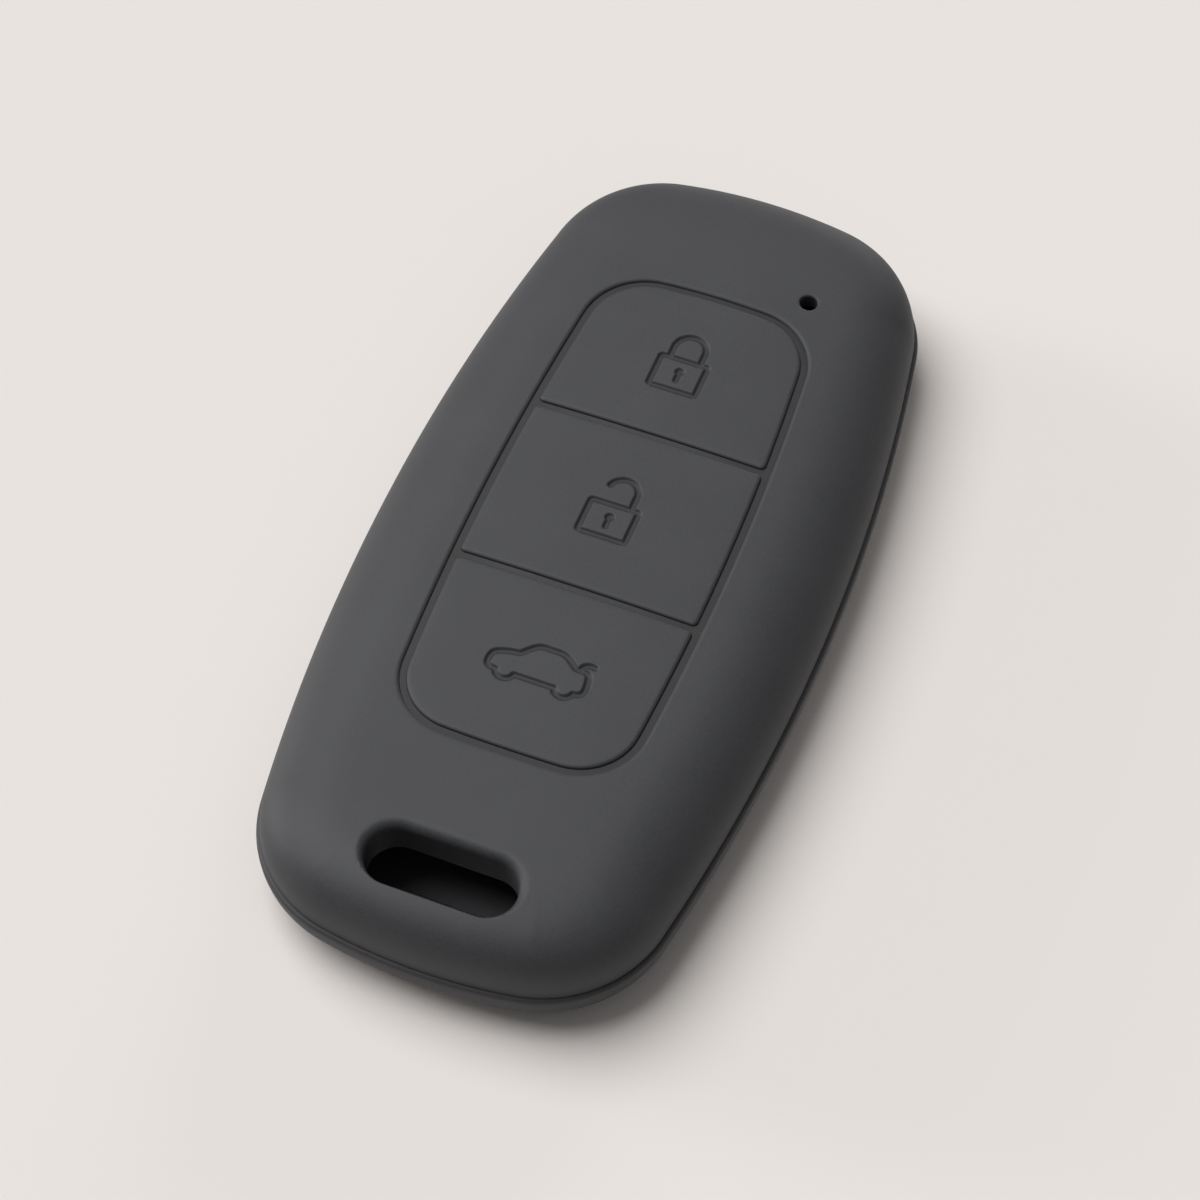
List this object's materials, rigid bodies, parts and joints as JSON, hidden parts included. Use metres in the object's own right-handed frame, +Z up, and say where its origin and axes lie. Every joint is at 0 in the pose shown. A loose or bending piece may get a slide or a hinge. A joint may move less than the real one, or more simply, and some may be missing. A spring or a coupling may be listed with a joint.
{
  "type": "key fob cover",
  "caption": "Soft two-shell cover for a car key fob, with push pads marked lock, unlock and boot, a key-ring slot and a hole for the fob's light.",
  "frame": {"origin": "under the middle of the cover, on the surface that its base rests on", "axes": "+X to the side of the light hole, +Y from the key-ring slot towards the lock pad, +Z up out of the pads"},
  "size_m": [0.045, 0.0908, 0.0119],
  "materials": {
    "front_silicone": "matte fine-grained",
    "rear_silicone": "matte fine-grained",
    "web_silicone": "matte",
    "button_silicone": "matte fine-grained"
  },
  "bodies": {
    "rear": {"rear_shell": "rear_silicone"},
    "front": {"front_shell": "front_silicone", "keypad_web": "web_silicone"},
    "lock_pad": {"lock_button": "button_silicone"},
    "unlock_pad": {"unlock_button": "button_silicone"},
    "trunk_pad": {"trunk_button": "button_silicone"}
  },
  "joints": [
    {"name": "front_lift", "type": "slide", "parent": "rear", "child": "front", "axis": [0, 0, 1], "range_m": [0, 0.03]},
    {"name": "lock_press", "type": "slide", "parent": "front", "child": "lock_pad", "axis": [0, 0, -1], "range_m": [0, 0.0006], "stiffness_N_per_m": 2500},
    {"name": "unlock_press", "type": "slide", "parent": "front", "child": "unlock_pad", "axis": [0, 0, -1], "range_m": [0, 0.0006], "stiffness_N_per_m": 2500},
    {"name": "trunk_press", "type": "slide", "parent": "front", "child": "trunk_pad", "axis": [0, 0, -1], "range_m": [0, 0.0006], "stiffness_N_per_m": 2500}
  ]
}
